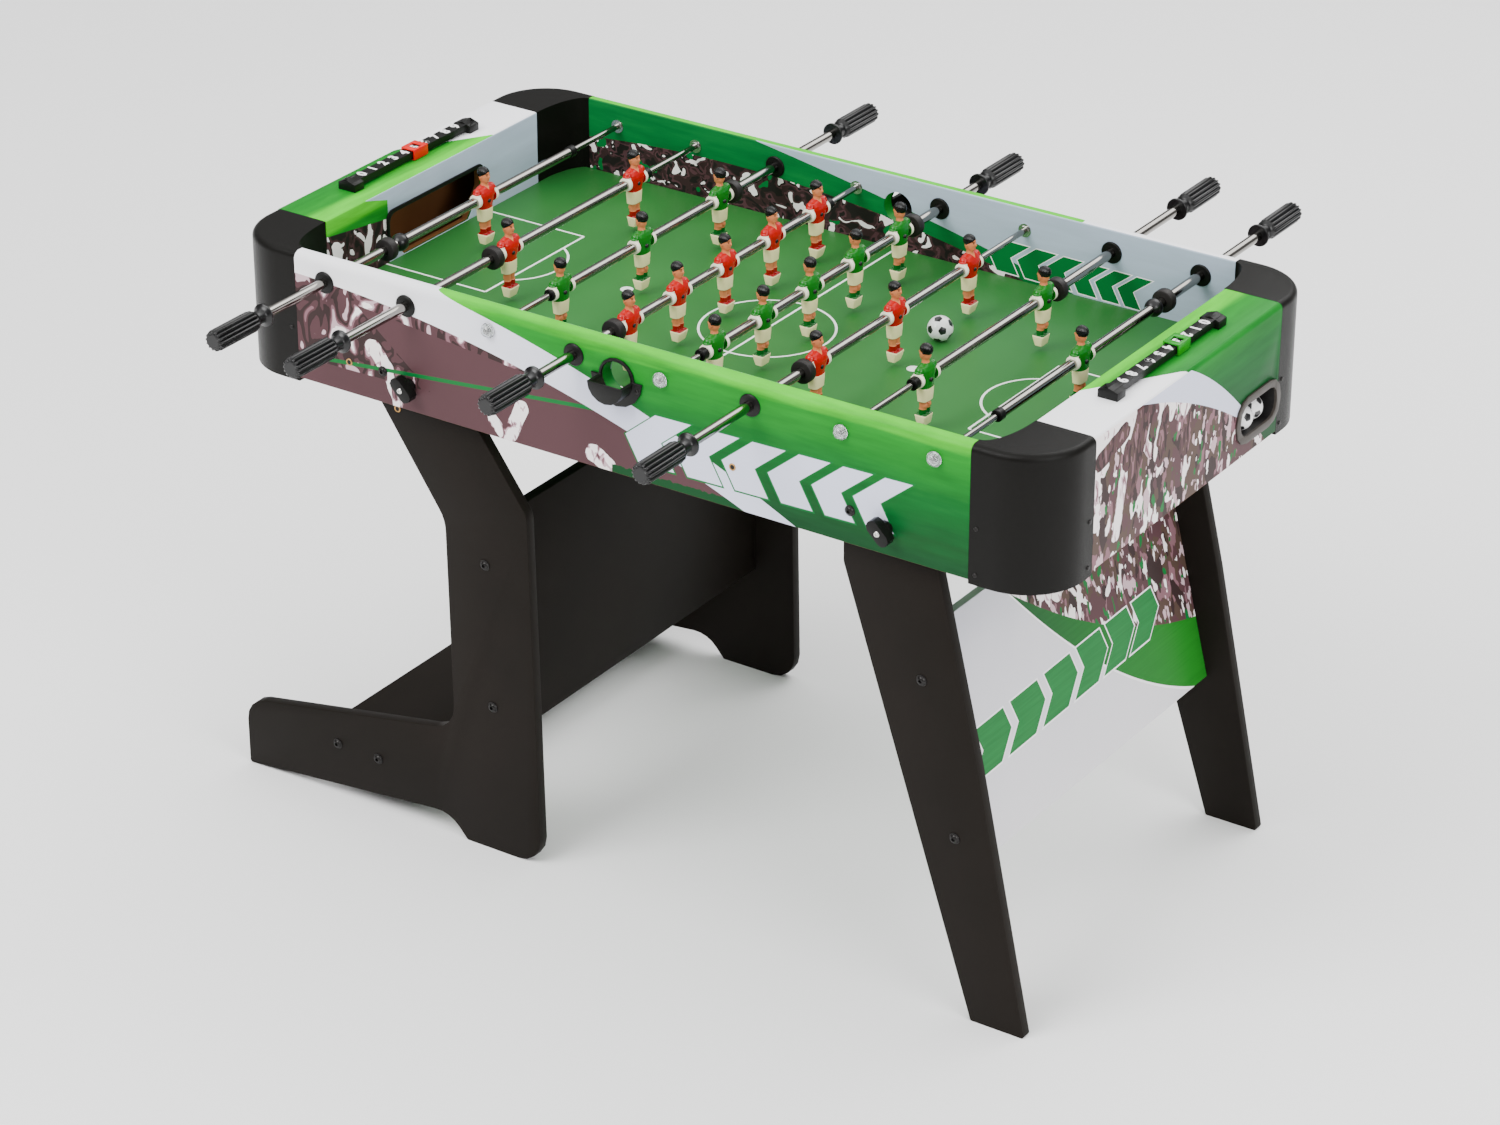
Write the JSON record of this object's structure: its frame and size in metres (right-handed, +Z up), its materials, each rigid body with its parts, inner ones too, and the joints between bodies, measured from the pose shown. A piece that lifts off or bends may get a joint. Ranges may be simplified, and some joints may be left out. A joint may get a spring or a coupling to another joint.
{
  "type": "foosball table",
  "caption": "Folding table football game: printed box cabinet with rounded black corners, telescopic rods with men, score counters and two folding board legs.",
  "frame": {"origin": "on the floor under the middle of the whole bounding box, handles included", "axes": "+X runs along the cabinet towards the leaning printed leg, -Y is the side with the red team's handles, +Z is up"},
  "size_m": [1.2416, 1.1234, 0.8037],
  "materials": {
    "green_print": "printed laminate, satin",
    "field_green": "printed board, satin",
    "black_plastic": "fine grain",
    "black_board": "dark wrap, matt",
    "pale_print": "printed laminate, satin",
    "chrome": "polished",
    "rubber": "matt",
    "red_plastic": "gloss",
    "green_plastic": "gloss"
  },
  "bodies": {
    "cabinet": {"near_side_board": "green_print", "far_side_board": "green_print", "left_end_box": "green_print", "right_end_box": "green_print", "playfield": "field_green", "near_left_corner_cap": "black_plastic", "near_right_corner_cap": "black_plastic", "far_left_corner_cap": "black_plastic", "far_right_corner_cap": "black_plastic", "near_ball_entry": "black_plastic", "far_ball_entry": "black_plastic", "left_ball_return": "black_plastic", "right_ball_return": "black_plastic", "left_score_bar": "black_plastic", "right_score_bar": "black_plastic", "rod_1_inner_rod": "chrome", "rod_2_inner_rod": "chrome", "rod_3_inner_rod": "chrome", "rod_4_inner_rod": "chrome", "rod_5_inner_rod": "chrome", "rod_6_inner_rod": "chrome", "rod_7_inner_rod": "chrome", "rod_8_inner_rod": "chrome"},
    "rod_1_slider": {"rod_1_bumper": "rubber"},
    "rod_1": {"rod_1_tube_and_men": "chrome", "rod_1_handle": "rubber"},
    "rod_2_slider": {"rod_2_bumper": "rubber"},
    "rod_2": {"rod_2_tube_and_men": "chrome", "rod_2_handle": "rubber"},
    "rod_3_slider": {"rod_3_bumper": "rubber"},
    "rod_3": {"rod_3_tube_and_men": "chrome", "rod_3_handle": "rubber"},
    "rod_4_slider": {"rod_4_bumper": "rubber"},
    "rod_4": {"rod_4_tube_and_men": "chrome", "rod_4_handle": "rubber"},
    "rod_5_slider": {"rod_5_bumper": "rubber"},
    "rod_5": {"rod_5_tube_and_men": "chrome", "rod_5_handle": "rubber"},
    "rod_6_slider": {"rod_6_bumper": "rubber"},
    "rod_6": {"rod_6_tube_and_men": "chrome", "rod_6_handle": "rubber"},
    "rod_7_slider": {"rod_7_bumper": "rubber"},
    "rod_7": {"rod_7_tube_and_men": "chrome", "rod_7_handle": "rubber"},
    "rod_8_slider": {"rod_8_bumper": "rubber"},
    "rod_8": {"rod_8_tube_and_men": "chrome", "rod_8_handle": "rubber"},
    "left_score": {"left_score_runner": "red_plastic"},
    "right_score": {"right_score_runner": "green_plastic"},
    "left_leg": {"near_stand_board": "black_board", "far_stand_board": "black_board", "stand_back_panel": "black_board", "stand_foot_shelf": "black_board"},
    "right_leg": {"near_strut_board": "black_board", "far_strut_board": "black_board", "strut_print_panel": "pale_print"},
    "near_left_lock_knob_body": {"near_left_lock_knob": "black_plastic"},
    "near_right_lock_knob_body": {"near_right_lock_knob": "black_plastic"},
    "far_left_lock_knob_body": {"far_left_lock_knob": "black_plastic"},
    "far_right_lock_knob_body": {"far_right_lock_knob": "black_plastic"}
  },
  "joints": [
    {"name": "rod_1_slide", "type": "slide", "parent": "cabinet", "child": "rod_1_slider", "axis": [0, -1, 0], "range_m": [-0.1, 0.098]},
    {"name": "rod_1_spin", "type": "hinge", "parent": "rod_1_slider", "child": "rod_1", "pos_m": [-0.43555, -0.00475, 0.758], "axis": [0, 1, 0], "continuous": true},
    {"name": "rod_2_slide", "type": "slide", "parent": "cabinet", "child": "rod_2_slider", "axis": [0, -1, 0], "range_m": [-0.108, 0.151]},
    {"name": "rod_2_spin", "type": "hinge", "parent": "rod_2_slider", "child": "rod_2", "pos_m": [-0.30741, 0.01375, 0.758], "axis": [0, 1, 0], "continuous": true},
    {"name": "rod_3_slide", "type": "slide", "parent": "cabinet", "child": "rod_3_slider", "axis": [0, 1, 0], "range_m": [-0.103, 0.092]},
    {"name": "rod_3_spin", "type": "hinge", "parent": "rod_3_slider", "child": "rod_3", "pos_m": [-0.17926, -0.01175, 0.758], "axis": [0, 1, 0], "continuous": true},
    {"name": "rod_4_slide", "type": "slide", "parent": "cabinet", "child": "rod_4_slider", "axis": [0, -1, 0], "range_m": [-0.062, 0.055]},
    {"name": "rod_4_spin", "type": "hinge", "parent": "rod_4_slider", "child": "rod_4", "pos_m": [-0.05112, -0.01175, 0.758], "axis": [0, 1, 0], "continuous": true},
    {"name": "rod_5_slide", "type": "slide", "parent": "cabinet", "child": "rod_5_slider", "axis": [0, 1, 0], "range_m": [-0.061, 0.056]},
    {"name": "rod_5_spin", "type": "hinge", "parent": "rod_5_slider", "child": "rod_5", "pos_m": [0.07702, -0.01275, 0.758], "axis": [0, 1, 0], "continuous": true},
    {"name": "rod_6_slide", "type": "slide", "parent": "cabinet", "child": "rod_6_slider", "axis": [0, -1, 0], "range_m": [-0.109, 0.086]},
    {"name": "rod_6_spin", "type": "hinge", "parent": "rod_6_slider", "child": "rod_6", "pos_m": [0.20516, -0.01775, 0.758], "axis": [0, 1, 0], "continuous": true},
    {"name": "rod_7_slide", "type": "slide", "parent": "cabinet", "child": "rod_7_slider", "axis": [0, 1, 0], "range_m": [-0.132, 0.127]},
    {"name": "rod_7_spin", "type": "hinge", "parent": "rod_7_slider", "child": "rod_7", "pos_m": [0.33331, -0.01325, 0.758], "axis": [0, 1, 0], "continuous": true},
    {"name": "rod_8_slide", "type": "slide", "parent": "cabinet", "child": "rod_8_slider", "axis": [0, 1, 0], "range_m": [-0.115, 0.083]},
    {"name": "rod_8_spin", "type": "hinge", "parent": "rod_8_slider", "child": "rod_8", "pos_m": [0.46145, -0.00375, 0.758], "axis": [0, 1, 0], "continuous": true},
    {"name": "left_score_slide", "type": "slide", "parent": "cabinet", "child": "left_score", "axis": [0, 1, 0], "range_m": [-0.109, 0.0872]},
    {"name": "right_score_slide", "type": "slide", "parent": "cabinet", "child": "right_score", "axis": [0, -1, 0], "range_m": [-0.0654, 0.1308]},
    {"name": "left_leg_fold", "type": "hinge", "parent": "cabinet", "child": "left_leg", "pos_m": [-0.34765, -0.01175, 0.6586], "axis": [0, 1, 0], "range_deg": [0, 90]},
    {"name": "right_leg_fold", "type": "hinge", "parent": "cabinet", "child": "right_leg", "pos_m": [0.34635, -0.01175, 0.6586], "axis": [0, 1, 0], "range_deg": [0, 90]},
    {"name": "near_left_knob_turn", "type": "hinge", "parent": "cabinet", "child": "near_left_lock_knob_body", "pos_m": [-0.30605, -0.33655, 0.6501], "axis": [0, -1, 0], "continuous": true},
    {"name": "near_right_knob_turn", "type": "hinge", "parent": "cabinet", "child": "near_right_lock_knob_body", "pos_m": [0.39635, -0.33655, 0.6501], "axis": [0, -1, 0], "continuous": true},
    {"name": "far_left_knob_turn", "type": "hinge", "parent": "cabinet", "child": "far_left_lock_knob_body", "pos_m": [-0.30605, 0.31305, 0.6501], "axis": [0, 1, 0], "continuous": true},
    {"name": "far_right_knob_turn", "type": "hinge", "parent": "cabinet", "child": "far_right_lock_knob_body", "pos_m": [0.39635, 0.31305, 0.6501], "axis": [0, 1, 0], "continuous": true}
  ],
  "couplings": [
    {"joint": "right_leg_fold", "follows": "left_leg_fold", "ratio": 1}
  ]
}
